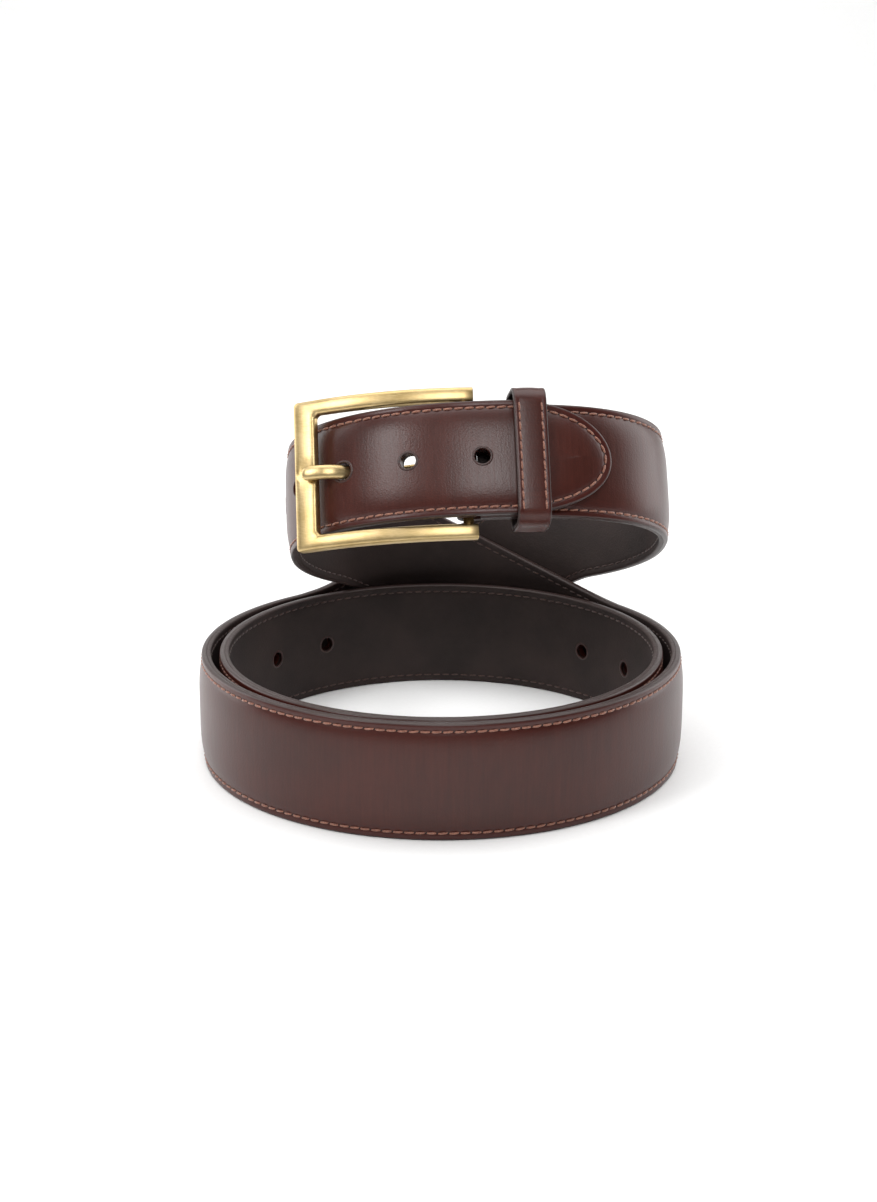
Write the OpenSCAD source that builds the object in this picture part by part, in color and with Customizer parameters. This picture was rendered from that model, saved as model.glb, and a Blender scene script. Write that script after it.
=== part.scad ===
// Gentleman's leather belt, buckled and laid up for display: a coil stands on its edge,
// the buckled loop rises out of it and leans back.
// Z is up, the origin is under the middle of the coil and the buckle faces -Y.

/* [Strap] */
// Width of the strap
strap_w = 35; // [28:1:42]
// Thickness of the face leather
face_t = 1.6; // [1.2:0.1:2.2]
// Thickness of the lining leather
lining_t = 1.4; // [1:0.1:2]
// Height of the padding under the face, at its middle
crown_h = 1.0; // [0.4:0.1:1.6]
// Width of the flat stitched margin along each edge
margin_w = 3.5; // [3:0.5:5]
// Distance of the seam from the edge
seam_inset = 2.3; // [1.5:0.1:3]
// Width of the sewing thread
thread_w = 0.8; // [0.5:0.1:1]
// Height of the thread above the leather
thread_t = 0.35; // [0.2:0.05:0.5]
// Length of the rounded point
point_len = 31; // [20:1:35]
// Distance from the heel bar to the tip of the point
point_past = 41.5; // [38:0.5:48]

/* [Coil] */
// Outer radius of the coil's outer turn
coil_r = 75; // [62:1:90]
// Gap between the two turns at the sides
turn_gap_side = 2.6; // [1.6:0.2:5]
// Gap between the two turns at the front and the back
turn_gap_front = 1.0; // [0.8:0.1:1.5]

/* [Buckled loop] */
// Half width of the loop
loop_half_w = 60.5; // [57:0.5:72]
// Depth of the loop in front of its centre
loop_front = 50; // [44:0.5:60]
// Depth of the loop behind its centre
loop_back = 56.5; // [47:0.5:68]
// Sideways shift of the loop from the coil
loop_shift = 12.2; // [0:0.1:16]
// Angle that the loop leans back
loop_lean = 27; // [22:0.5:30]
// Angle that the loop is rolled to one side
loop_roll = 2.2; // [0:0.2:4]

/* [Buckle] */
// Length of the frame, from the front bar to the ends of its arms
frame_len = 55.3; // [46:0.1:62]
// Width of the front bar
front_bar_w = 7; // [4:0.2:8]
// Height of each arm
arm_h = 4.6; // [3:0.1:6]
// Depth of the frame's bars
frame_d = 3.6; // [2.8:0.1:4.4]
// Free space between the strap's edge and each arm
window_gap = 1.3; // [0.6:0.1:2]
// Bow of the frame between its two bars
frame_bow = 3.2; // [1:0.2:4]
// Distance that the front bar stands off the loop's curve, measured along the loop's depth
frame_stand = 13; // [11:0.2:15]
// Diameter of the heel bar
heel_d = 3.6; // [3:0.1:4.2]
// Thickness of the leather folded round the heel bar
fold_t = 1.6; // [1.2:0.1:1.8]
// Length of the fold's leg behind the strap
fold_len = 27; // [22:1:32]

/* [Prong] */
// Width of the prong
prong_w = 4.4; // [3:0.1:5]
// Thickness of the prong
prong_t = 2.4; // [1.8:0.1:3]

/* [Keeper] */
// Width of the keeper
keeper_w = 10; // [7:0.5:13]
// Thickness of each of the keeper's two leathers
keeper_t = 0.8; // [0.6:0.05:1.2]
// Free space between the strap's edge and the keeper
keeper_gap = 2.2; // [1:0.1:3]
// Distance from the heel bar to the keeper's middle
keeper_at = 19; // [15:0.5:22]

/* [Holes] */
// Diameter of the punched holes
hole_d = 4.8; // [4:0.1:5.5]
// Distance between the punched holes
hole_pitch = 21.4; // [18:0.2:26]
// Distance between the two holes of a pair on the inner turn
pair_pitch = 23.6; // [18:0.2:28]

/* [Hidden] */
$fn = 64;
rad = PI / 180;

// Strap section
edge_t = face_t + lining_t;
full_t = edge_t + crown_h;
half_w = strap_w / 2;
lay_gap = 0.6;                      // between the point end and the strand under it
point_lift = full_t + lay_gap;
seam_w = half_w - seam_inset;

// The coil stands a little forward, so that the belt's whole depth is centred on the origin
coil_y = -4.15;

// The loop touches the coil's back wall with its lower edge just behind the rim
loop_power = 2.3;                   // 2 is an ellipse, more is squarer
rim_back = -3.0;
rim_drop = -2.0;
loop_y = coil_y + coil_r + rim_back - loop_back * cos(loop_lean);
loop_z = strap_w + rim_drop + loop_back * sin(loop_lean);
loop_c = [loop_shift, loop_y, loop_z];
loop_x_dir = [cos(loop_roll), sin(loop_roll) * sin(loop_lean), sin(loop_roll) * cos(loop_lean)];
loop_y_dir = [0, cos(loop_lean), -sin(loop_lean)];
loop_up = [-sin(loop_roll), cos(loop_roll) * sin(loop_lean), cos(loop_roll) * cos(loop_lean)];

// Angles along the strap: it leaves the heel bar at the front of the loop, runs one and
// three quarter turns and ends at the point. One strand falls from the loop to the coil
// behind the coil's back, the other rises inside it.
turn = 360;
fall_from = 49;
fall_to = 132;
rise_from = turn + 35;
rise_to = turn + 140;
fall_upright = [45, 89];
rise_leaning = [turn + 105, turn + 163];
stand_off = full_t + 5.0;           // the falling strand passes outside the rising one
stand_off_end = [101, 125];
point_lift_span = [545, 628];
station_step = 4.5;

// Buckle places in the loop's own plane, x to the right and y to the back
heel_off = 0.8;                     // from the strap's lining to the middle of the heel bar
arm_end = 2.6;                      // from the heel bar's middle to the ends of the arms
arm_end_x = -1.4;
heel_x = arm_end_x - arm_end;
heel_y = -(loop_front - edge_t) - heel_off;
bar_fit = 0.08;
heel_r = heel_d / 2;
fold_r = heel_r + bar_fit + fold_t;
bar_reach = frame_len - arm_end - front_bar_w / 2;
window_h = strap_w + 2 * window_gap;
frame_h = window_h + 2 * arm_h;
bow_r = (pow(bar_reach / 2, 2) + pow(frame_bow, 2)) / (2 * frame_bow);
start_x = heel_x + fold_r + 0.05;
point_x = heel_x + point_past;
slot_gap = 0.5;
keeper_band = 2 * keeper_t;
keeper_play = 0.45;                 // between the keeper and the leather it crosses in front
keeper_slack = 1.2;                 // behind, where the strap bends towards the keeper
fold_gap = 0.05;

function ease(x) = let(c = min(max(x, 0), 1)) c * c * (3 - 2 * c);
function span(x, ab) = (x - ab[0]) / (ab[1] - ab[0]);
function unit(v) = v / norm(v);

// Radius of the loop's outer edge at an angle
function loop_r(t) = let(b = sin(t) > 0 ? loop_back : loop_front)
    pow(pow(abs(cos(t) / loop_half_w), loop_power) + pow(abs(sin(t) / b), loop_power),
        -1 / loop_power);
// Angle on the front of the loop where the outer edge is at x
function loop_angle(x, t = -90, n = 0) = n > 30 ? t :
    loop_angle(x, t + (x - loop_r(t) * cos(t)) / (loop_r(t) * rad), n + 1);
// Middle of the strap's lining on the loop and on the coil, moved outward by off
function on_loop(t, off) = let(r = loop_r(t) - edge_t + off)
    loop_c + r * cos(t) * loop_x_dir + r * sin(t) * loop_y_dir + half_w * loop_up;
function on_coil(t, off) = let(r = coil_r - edge_t + off) [r * cos(t), coil_y + r * sin(t), half_w];
// Depth of the loop's front at x, and the angle that this gives the frame
function front_y(x) = let(t = loop_angle(max(x, -0.95 * loop_half_w))) loop_r(t) * sin(t);
frame_turn = atan((front_y(heel_x - bar_reach) - front_y(heel_x) - frame_stand) / bar_reach);
function lift(t) = point_lift * ease(span(t, point_lift_span));
function stand(t) = stand_off * (1 - ease(span(t, stand_off_end)));
function middle(t) =
    t <= fall_from ? on_loop(t, 0) :
    t < fall_to ? let(w = ease(span(t, [fall_from, fall_to])))
        (1 - w) * on_loop(t, 0) + w * on_coil(t, stand(t)) :
    t < rise_from ? on_coil(t, 0) :
    t < rise_to ? let(w = ease(span(t, [rise_from, rise_to])))
        (1 - w) * on_coil(t, 0) + w * on_loop(t, 0) :
    on_loop(t, lift(t));
function upright(t) = t < 270 ? ease(span(t, fall_upright)) : 1 - ease(span(t, rise_leaning));
// Place of the strap at an angle: middle of the lining, width direction, outward direction
function station(t) = let(
    along = unit(middle(t + 0.5) - middle(t - 0.5)),
    w = upright(t),
    lean = unit((1 - w) * loop_up + w * [0, 0, 1]),
    up = unit(lean - (lean * along) * along),
    out = cross(along, up)) [middle(t), up, out];
function at(s, w, d) = s[0] + w * s[1] + d * s[2];

start_t = loop_angle(start_x);
point_t = 2 * turn + loop_angle(point_x);
keeper_x = heel_x + keeper_at;
keeper_t_mid = 2 * turn + loop_angle(keeper_x);
// Angle per millimetre along the strap near an angle
function per_mm(t) = 1 / norm(middle(t + 0.5) - middle(t - 0.5));
// Step along the strap by a length, in small pieces
function walk(t, len, n = 20) = n == 0 ? t : walk(t + len / n * per_mm(t), len * (n - 1) / n, n - 1);
point_start_t = walk(point_t, -point_len);
hole_back = 13.1;                   // from the front bar's middle back to the hole in use
used_hole_x = heel_x - bar_reach + hole_back;
used_t = 2 * turn + loop_angle(used_hole_x);
hole_ts = [for (k = [-2, -1, 1, 2]) walk(used_t, k * hole_pitch)];

// Half width of the strap, which narrows to the rounded point
point_steps = 9;
function half_at(k) = half_w * sin(90 * k / point_steps);
function body_angles(a, b) = let(n = ceil((b - a) / station_step))
    [for (i = [0:n]) a + (b - a) * i / n];

// Solid swept through rings of points. Two layers that share a face must cut its quads along
// the same diagonal, so the places in the ring where the diagonal turns are given.
module skin(rings, turned = []) {
    n = len(rings[0]);
    m = len(rings);
    points = [for (r = rings) for (p = r) p];
    sides = [for (i = [0:m - 2]) for (j = [0:n - 1]) let(a = i * n + j, b = i * n + (j + 1) % n)
        each (turned[j] == true ? [[a, a + n, b], [b, a + n, b + n]] : [[a, b + n, b], [a, a + n, b + n]])];
    polyhedron(points, concat([[for (j = [0:n - 1]) j]], sides,
        [[for (j = [n - 1:-1:0]) (m - 1) * n + j]]), convexity = 20);
}
// Strap layer: outline gives [share of half width or margin distance, height] pairs
module layer(outline) {
    n = len(outline);
    skin(strap_rings(outline), [for (j = [0:n - 1]) outline[(j + 1) % n][0] < outline[j][0]]);
}
function layer_ring(s, outline, hw) = [for (p = outline) at(s, p[0] * hw / half_w, p[1])];
function strap_rings(outline, a = start_t) = concat(
    [for (t = body_angles(a, point_start_t)) layer_ring(station(t), outline, half_w)],
    [for (k = [point_steps - 1:-1:1]) let(t = point_t
        - (point_t - point_start_t) * (1 - cos(90 * k / point_steps)))
        layer_ring(station(t), outline, half_at(k))],
    [layer_ring(station(point_t), outline, 0.6)]);

flat_w = half_w - margin_w;
pad_w = flat_w * 0.6;
pad_h = crown_h * 0.75;
function face_outline() = [
    [-half_w, lining_t], [-flat_w, lining_t], [-pad_w, lining_t + pad_h], [0, lining_t + crown_h],
    [pad_w, lining_t + pad_h], [flat_w, lining_t], [half_w, lining_t],
    [half_w, edge_t], [flat_w, edge_t], [pad_w, edge_t + pad_h], [0, full_t],
    [-pad_w, edge_t + pad_h], [-flat_w, edge_t], [-half_w, edge_t]];
function filler_outline() = [
    [-flat_w, lining_t], [flat_w, lining_t], [pad_w, lining_t + pad_h],
    [0, lining_t + crown_h], [-pad_w, lining_t + pad_h]];
function lining_outline() = [
    [-half_w, 0], [half_w, 0], [half_w, lining_t], [flat_w, lining_t], [-flat_w, lining_t],
    [-half_w, lining_t]];

// Thread laid on the face along a list of [angle, width] places
module thread(path, height = edge_t, thick = thread_t) {
    spots = [for (p = path) let(s = station(p[0])) [at(s, p[1], height), s[2]]];
    last = len(spots) - 1;
    skin([for (i = [0:last]) let(
        along = unit(spots[min(i + 1, last)][0] - spots[max(i - 1, 0)][0]),
        side = unit(cross(spots[i][1], along)) * thread_w / 2,
        top = spots[i][1] * thick,
        p = spots[i][0])
        [p - side, p + side, p + side + top, p - side + top]]);
}

// Moves children into the buckled loop's plane
module in_loop() translate(loop_c) rotate([-loop_lean, 0, 0]) rotate([0, -loop_roll, 0]) children();
// Moves children to the heel bar: x runs to the front bar, y outward, z along the bar
module at_heel() in_loop() translate([heel_x, heel_y, half_w])
    rotate([0, 0, 180 - frame_turn]) children();

// Punched hole through every layer at an angle
module punch(t) {
    s = station(t);
    out = s[2];
    up = s[1];
    side = cross(up, out);
    multmatrix([[side[0], up[0], out[0], s[0][0]], [side[1], up[1], out[1], s[0][1]],
        [side[2], up[2], out[2], s[0][2]], [0, 0, 0, 1]])
        rotate([0, 0, 50]) translate([0, 0, -3]) cylinder(h = full_t + 6, d = hole_d, $fn = 32);
}
// Long hole that the prong passes through
module prong_slot() at_heel() translate([0, 0, -prong_w / 2 - slot_gap])
    linear_extrude(prong_w + 2 * slot_gap)
        polygon([[bar_reach - 24.5, -3.5], [bar_reach - 13.5, 6], [bar_reach - 1.5, 6], [bar_reach - 1.5, -9],
            [bar_reach - 9.5, -9]]);
module all_holes() {
    for (t = hole_ts) punch(t);
    prong_slot();
}

module strap_face() color([0.29, 0.13, 0.10]) difference() {
    layer(face_outline());
    all_holes();
}
module strap_filler() color([0.55, 0.45, 0.36]) difference() {
    layer(filler_outline());
    all_holes();
}
module strap_lining() color([0.22, 0.17, 0.15]) difference() {
    layer(lining_outline());
    all_holes();
}
function seam_path(w) = [for (t = body_angles(start_t + 1, point_start_t)) [t, w]];
module strap_seam_upper() color([0.62, 0.42, 0.34]) thread(seam_path(seam_w));
module strap_seam_lower() color([0.62, 0.42, 0.34]) thread(seam_path(-seam_w));
// The seam runs round the point at the same distance from the edge
module point_seam() color([0.62, 0.42, 0.34]) {
    reach = point_t - seam_inset * per_mm(point_t) - point_start_t;
    thread([for (k = [0:18]) let(a = -85 + 170 * k / 18) [point_start_t + 0.6 + (reach - 0.6) * cos(a),
        seam_w * sin(a)]]);
}

// Leather folded round the heel bar, with its leg behind the strap
fold_end_t = walk(start_t, fold_len);
module heel_fold() color([0.29, 0.13, 0.10]) difference() {
    union() {
        in_loop() translate([heel_x, heel_y, 0]) cylinder(h = strap_w, r = fold_r);
        skin([for (t = body_angles(loop_angle(heel_x + heel_r + 0.6), fold_end_t)) let(s = station(t))
            [at(s, -half_w, -fold_gap - fold_t), at(s, half_w, -fold_gap - fold_t),
                at(s, half_w, -fold_gap), at(s, -half_w, -fold_gap)]]);
    }
    in_loop() translate([heel_x, heel_y, -1]) cylinder(h = strap_w + 2, r = heel_r + bar_fit);
    in_loop() translate([heel_x - fold_r - 1, heel_y - fold_r - 1, half_w - prong_w / 2 - slot_gap])
        cube([2 * fold_r + 1.2, 2 * fold_r + 2, prong_w + 2 * slot_gap]);
}
module fold_seam() color([0.62, 0.42, 0.34])
    for (w = [-seam_w, seam_w]) thread([for (t = body_angles(start_t + 2, fold_end_t - 1)) [t, w]],
        -fold_gap - fold_t - thread_t);

// Inner turn of the coil, a plain band inside the outer turn
turn_x = coil_r - edge_t - turn_gap_side;
turn_y = coil_r - edge_t - turn_gap_front;
module oval(grow) polygon([for (i = [0:95]) let(t = i * 3.75) [(turn_x + grow) * cos(t), (turn_y + grow) * sin(t)]]);
module band(inner, outer, z0, z1) translate([0, coil_y, z0]) linear_extrude(z1 - z0) difference() {
    oval(outer);
    oval(inner);
}
pair_turn = pair_pitch / (turn_x * rad) / 2;
right_pair = 34;
left_pair = 136;
pair_angles = [for (a = [right_pair, left_pair]) for (d = [-1, 1]) a + d * pair_turn];
module turn_holes() for (t = pair_angles)
    translate([turn_x * cos(t), coil_y + turn_y * sin(t), half_w])
        rotate([0, 90, atan2(sin(t) / turn_y, cos(t) / turn_x)]) translate([0, 0, -8])
            cylinder(h = 14, d = hole_d, $fn = 32);
turn_fill_t = min(0.6, face_t / 2);
module inner_turn_face() color([0.29, 0.13, 0.10]) difference() {
    band(-face_t, 0, 0, strap_w);
    band(-face_t - 1, -face_t + turn_fill_t, margin_w, strap_w - margin_w);
    turn_holes();
}
module inner_turn_filler() color([0.55, 0.45, 0.36]) difference() {
    band(-face_t, -face_t + turn_fill_t, margin_w, strap_w - margin_w);
    turn_holes();
}
module inner_turn_lining() color([0.22, 0.17, 0.15]) difference() {
    band(-edge_t, -face_t, 0, strap_w);
    turn_holes();
}
module turn_seam(z) color([0.62, 0.42, 0.34]) band(0, thread_t, z - thread_w / 2, z + thread_w / 2);
module inner_turn_seam_upper() turn_seam(strap_w - seam_inset);
module inner_turn_seam_lower() turn_seam(seam_inset);

// Bowed frame: a sector of a thick tube with its window cut out
bow_half = asin(bar_reach / 2 / bow_r);
function bow_angle(x) = asin((x - bar_reach / 2) / bow_r);
module bow_sector(r0, r1, h, a0, a1) translate([bar_reach / 2, frame_bow - bow_r, -h / 2])
    rotate([0, 0, 90 - a1]) rotate_extrude(angle = a1 - a0, $fn = 180)
        translate([r0, 0]) square([r1 - r0, h]);
module buckle_frame() color([0.78, 0.65, 0.38]) at_heel() difference() {
    bow_sector(bow_r - frame_d / 2, bow_r + frame_d / 2, frame_h,
        bow_angle(-arm_end), bow_angle(bar_reach + front_bar_w / 2));
    bow_sector(bow_r - frame_d, bow_r + frame_d, window_h,
        bow_angle(-arm_end - 4), bow_angle(bar_reach - front_bar_w / 2));
    translate([0, 0, -frame_h]) cylinder(h = 2 * frame_h, r = heel_r);
}
module heel_bar() color([0.70, 0.60, 0.38]) at_heel()
    translate([0, 0, -frame_h / 2 + 0.4]) cylinder(h = frame_h - 0.8, r = heel_r);

// Prong: an eye on the heel bar and a shaft that dips under the strap, then comes up
// through its hole and rests on the front bar
eye_r = heel_r + bar_fit + 1.3;
rest_gap = 0.15;
function rest_y(x) = frame_d / 2 + prong_t / 2 + rest_gap
    + frame_bow - bow_r + sqrt(pow(bow_r, 2) - pow(x - bar_reach / 2, 2));
module prong() color([0.78, 0.65, 0.38]) at_heel() translate([0, 0, -prong_w / 2]) difference() {
    union() {
        cylinder(h = prong_w, r = eye_r);
        linear_extrude(prong_w) prong_side();
    }
    translate([0, 0, -1]) cylinder(h = prong_w + 2, r = heel_r + bar_fit);
}
prong_dip = -4.5;
prong_line = [[heel_r + 0.5, -1.2], [10, prong_dip + 0.8], [bar_reach - 23.5, prong_dip],
    [bar_reach - 18.5, prong_dip + 1.2], [bar_reach - 11, 2.2],
    [bar_reach - 7, rest_y(bar_reach - front_bar_w / 2) - 0.2],
    [bar_reach - front_bar_w / 2, rest_y(bar_reach - front_bar_w / 2)],
    [bar_reach + 0.8, rest_y(bar_reach + 0.8) + 0.4]];
module prong_side() {
    h = prong_t / 2;
    n = len(prong_line) - 1;
    side = [for (i = [0:n]) let(d = unit(prong_line[min(i + 1, n)] - prong_line[max(i - 1, 0)])) [-d[1], d[0]] * h];
    polygon(concat([for (i = [0:n]) prong_line[i] + side[i]], [for (i = [n:-1:0]) prong_line[i] - side[i]]));
}

// Keeper: a flat loop of two leathers round both strands and the fold
keeper_in = fold_gap + fold_t + keeper_slack;
keeper_up = point_lift + full_t + keeper_play;
module keeper_ring(grow) {
    h = half_w + keeper_gap + grow;
    r = 1.2 + grow;
    translate([-keeper_in - grow, -h]) offset_square([keeper_in + keeper_up + 2 * grow, 2 * h], r);
}
// Rectangle with rounded corners, made of true arcs
module offset_square(size, r) {
    translate([r, 0]) square([size[0] - 2 * r, size[1]]);
    translate([0, r]) square([size[0], size[1] - 2 * r]);
    for (x = [r, size[0] - r]) for (y = [r, size[1] - r]) translate([x, y]) circle(r = r, $fn = 48);
}
// Moves children to the keeper: x outward, y along the strap's width, z along the strap
module at_keeper() {
    s = station(loop_angle(keeper_x));
    side = cross(s[1], s[2]);
    multmatrix([[s[2][0], s[1][0], -side[0], s[0][0]], [s[2][1], s[1][1], -side[1], s[0][1]],
        [s[2][2], s[1][2], -side[2], s[0][2]], [0, 0, 0, 1]]) children();
}
module keeper_layer(g0, g1) at_keeper() translate([0, 0, -keeper_w / 2]) linear_extrude(keeper_w) difference() {
    keeper_ring(g1);
    keeper_ring(g0);
}
module keeper_face() color([0.27, 0.12, 0.09]) keeper_layer(keeper_t, keeper_band);
module keeper_lining() color([0.22, 0.17, 0.15]) keeper_layer(0, keeper_t);
module keeper_seam() color([0.62, 0.42, 0.34]) at_keeper()
    for (z = [-1, 1]) translate([0, 0, z * (keeper_w / 2 - 1.6) - thread_w / 2]) linear_extrude(thread_w) intersection() {
        difference() {
            keeper_ring(keeper_band + thread_t);
            keeper_ring(keeper_band);
        }
        translate([0, -half_w - keeper_gap]) square([keeper_up + 10, strap_w + 2 * keeper_gap]);
    }
// Staple that closes the keeper's joint behind the strap
staple_w = 6;
module keeper_staple() color([0.65, 0.62, 0.55]) at_keeper()
    translate([-keeper_in - keeper_band - 0.5, -0.8, -staple_w / 2]) cube([0.5, 1.6, staple_w]);

strap_face();
strap_filler();
strap_lining();
strap_seam_upper();
strap_seam_lower();
point_seam();
heel_fold();
fold_seam();
inner_turn_face();
inner_turn_filler();
inner_turn_lining();
inner_turn_seam_upper();
inner_turn_seam_lower();
buckle_frame();
heel_bar();
prong();
keeper_face();
keeper_lining();
keeper_seam();
keeper_staple();
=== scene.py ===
# %% [markdown]
# # A gentleman's leather belt, buckled and laid up for display
# The belt stands on its edge in a coil, and the buckled loop rises out of it and leans back.
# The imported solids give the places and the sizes. Here each piece gets the surface that a
# belt maker would give it: padded leather, painted edges, single stitches and satin brass.

# %% Load the frame
import math
import bpy
import bmesh
from mathutils import Matrix, Vector


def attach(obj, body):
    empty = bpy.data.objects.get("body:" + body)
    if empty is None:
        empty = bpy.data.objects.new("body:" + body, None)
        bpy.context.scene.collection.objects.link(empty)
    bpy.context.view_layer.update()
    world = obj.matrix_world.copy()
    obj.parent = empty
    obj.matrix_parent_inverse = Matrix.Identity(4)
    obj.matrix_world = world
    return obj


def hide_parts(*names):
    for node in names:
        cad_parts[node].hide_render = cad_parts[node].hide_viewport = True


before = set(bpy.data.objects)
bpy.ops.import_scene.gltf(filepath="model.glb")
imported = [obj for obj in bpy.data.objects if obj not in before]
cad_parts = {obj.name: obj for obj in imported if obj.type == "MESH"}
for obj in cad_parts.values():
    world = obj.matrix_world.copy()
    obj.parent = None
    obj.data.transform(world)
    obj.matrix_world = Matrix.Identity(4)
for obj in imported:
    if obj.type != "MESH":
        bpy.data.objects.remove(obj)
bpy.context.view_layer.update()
MM = 0.001

# %% [markdown]
# ## The way that the strap runs
# A strap is a flat section carried along a path. At each angle the path gives a place, the
# direction of the strap's width and the direction that its face looks in. All lengths here
# are in millimetres, as on the bench, and they become metres when a mesh is made.

# %% Sizes of the strap and the coil
STRAP_W, EDGE_T, CROWN = 35.0, 3.0, 1.0
HALF_W = STRAP_W / 2
FULL_T = EDGE_T + CROWN
SEAM_INSET, MARGIN = 2.3, 3.5
POINT_LEN = 31.0
COIL_R, COIL_Y = 75.0, -4.15
TURN_X, TURN_Y = COIL_R - EDGE_T - 2.6, COIL_R - EDGE_T - 1.0
LOOP_HALF_W, LOOP_FRONT, LOOP_BACK = 60.5, 50.0, 56.5
LOOP_POWER, LOOP_LEAN, LOOP_ROLL = 2.3, math.radians(27), math.radians(2.2)
LOOP_C = Vector((12.2, COIL_Y + COIL_R - 3.0 - LOOP_BACK * math.cos(LOOP_LEAN),
                 STRAP_W - 2.0 + LOOP_BACK * math.sin(LOOP_LEAN)))
IN_LOOP = Matrix.Rotation(-LOOP_LEAN, 3, "X") @ Matrix.Rotation(-LOOP_ROLL, 3, "Y")
LOOP_X, LOOP_Y, LOOP_UP = (IN_LOOP @ Vector(v) for v in ((1, 0, 0), (0, 1, 0), (0, 0, 1)))
print("middle of the loop:", [round(c, 1) for c in LOOP_C])

# %% Path of the strap
def ease(x):
    x = min(max(x, 0.0), 1.0)
    return x * x * (3 - 2 * x)

def loop_r(t):
    c, s = math.cos(math.radians(t)), math.sin(math.radians(t))
    deep = LOOP_BACK if s > 0 else LOOP_FRONT
    return (abs(c / LOOP_HALF_W) ** LOOP_POWER + abs(s / deep) ** LOOP_POWER) ** (-1 / LOOP_POWER)

def loop_angle(x, t=-90.0):
    for _ in range(30):
        t += (x - loop_r(t) * math.cos(math.radians(t))) / math.radians(loop_r(t))
    return t

def on_loop(t, off=0.0):
    r = loop_r(t) - EDGE_T + off
    a = math.radians(t)
    return LOOP_C + r * math.cos(a) * LOOP_X + r * math.sin(a) * LOOP_Y + HALF_W * LOOP_UP

def on_coil(t, off=0.0):
    r = COIL_R - EDGE_T + off
    a = math.radians(t)
    return Vector((r * math.cos(a), COIL_Y + r * math.sin(a), HALF_W))

FALL, RISE = (49, 132), (395, 500)          # the strand that falls to the coil, and the one that rises
STAND_OFF, STAND_SPAN = 9.0, (101, 125)     # the falling strand passes outside the rising one
POINT_LIFT, LIFT_SPAN = FULL_T + 0.6, (545, 628)

def share(x, ab):
    return ease((x - ab[0]) / (ab[1] - ab[0]))

def middle(t):
    if t <= FALL[0]:
        return on_loop(t)
    if t < FALL[1]:
        return on_loop(t).lerp(on_coil(t, STAND_OFF * (1 - share(t, STAND_SPAN))), share(t, FALL))
    if t < RISE[0]:
        return on_coil(t)
    if t < RISE[1]:
        return on_coil(t).lerp(on_loop(t), share(t, RISE))
    return on_loop(t, POINT_LIFT * share(t, LIFT_SPAN))

def station(t):
    """Middle of the lining, width direction and outward direction at an angle."""
    along = (middle(t + 0.5) - middle(t - 0.5)).normalized()
    w = share(t, (45, 89)) if t < 270 else 1 - share(t, (465, 523))
    lean = (LOOP_UP * (1 - w) + Vector((0, 0, w))).normalized()
    up = (lean - lean.dot(along) * along).normalized()
    return middle(t), up, along.cross(up)

def at(t, w, d):
    p, up, out = station(t)
    return p + w * up + d * out

def walk(t, length, steps=20):
    for _ in range(steps):
        t += length / steps / (middle(t + 0.5) - middle(t - 0.5)).length
    return t

# %% Places along the strap
FRAME_LEN, FRONT_BAR_W, FRAME_D, ARM_H = 55.3, 7.0, 3.6, 4.6
ARM_END = 2.6
BAR_REACH = FRAME_LEN - ARM_END - FRONT_BAR_W / 2
HEEL_X, HEEL_Y = -1.4 - ARM_END, -(LOOP_FRONT - EDGE_T) - 0.8
HEEL_R, BAR_FIT, FOLD_T, FOLD_GAP = 1.8, 0.08, 1.6, 0.05
FOLD_R = HEEL_R + BAR_FIT + FOLD_T
FRAME_STAND = 13.0
def front_y(x):
    t = loop_angle(x)
    return loop_r(t) * math.sin(math.radians(t))

FRAME_TURN = math.atan((front_y(HEEL_X - BAR_REACH) - front_y(HEEL_X) - FRAME_STAND) / BAR_REACH)
START_T = loop_angle(HEEL_X + FOLD_R + 0.05)
POINT_T = 720 + loop_angle(HEEL_X + 41.5)
USED_T = 720 + loop_angle(HEEL_X - BAR_REACH + 13.1)
HOLE_PITCH, HOLE_D = 21.4, 4.8
HOLE_TS = [walk(USED_T, k * HOLE_PITCH) for k in (-2, -1, 1, 2)]
KEEPER_AT = loop_angle(HEEL_X + 19)

# a table from length along the strap to angle
STEP = 0.25
TRACK = [(0.0, START_T)]
_gone, _t, _last = 0.0, START_T, middle(START_T)
while _t < POINT_T:
    _t = min(_t + STEP, POINT_T)
    _p = middle(_t)
    _gone += (_p - _last).length
    _last = _p
    TRACK.append((_gone, _t))
STRAP_LEN = _gone

def angle_at(length):
    """Angle of the path at a length from the heel bar's end."""
    lo, hi = 0, len(TRACK) - 1
    while hi - lo > 1:
        mid = (lo + hi) // 2
        lo, hi = (mid, hi) if TRACK[mid][0] <= length else (lo, mid)
    (a, ta), (b, tb) = TRACK[lo], TRACK[hi]
    return ta + (tb - ta) * (length - a) / (b - a)

def length_at(t):
    i = min(max(int((t - START_T) / STEP), 0), len(TRACK) - 2)
    (a, ta), (b, tb) = TRACK[i], TRACK[i + 1]
    return a + (b - a) * (t - ta) / (tb - ta)

print("strap as laid up:", round(STRAP_LEN), "mm, holes at", [round(length_at(t)) for t in HOLE_TS])

# %% [markdown]
# ## Making meshes
# Most pieces are lofts: rings of points joined in order. One helper joins the rings, one
# turns the points into a mesh with its own map, and one gives the piece its body, its
# material and the solids that it stands for.

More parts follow.
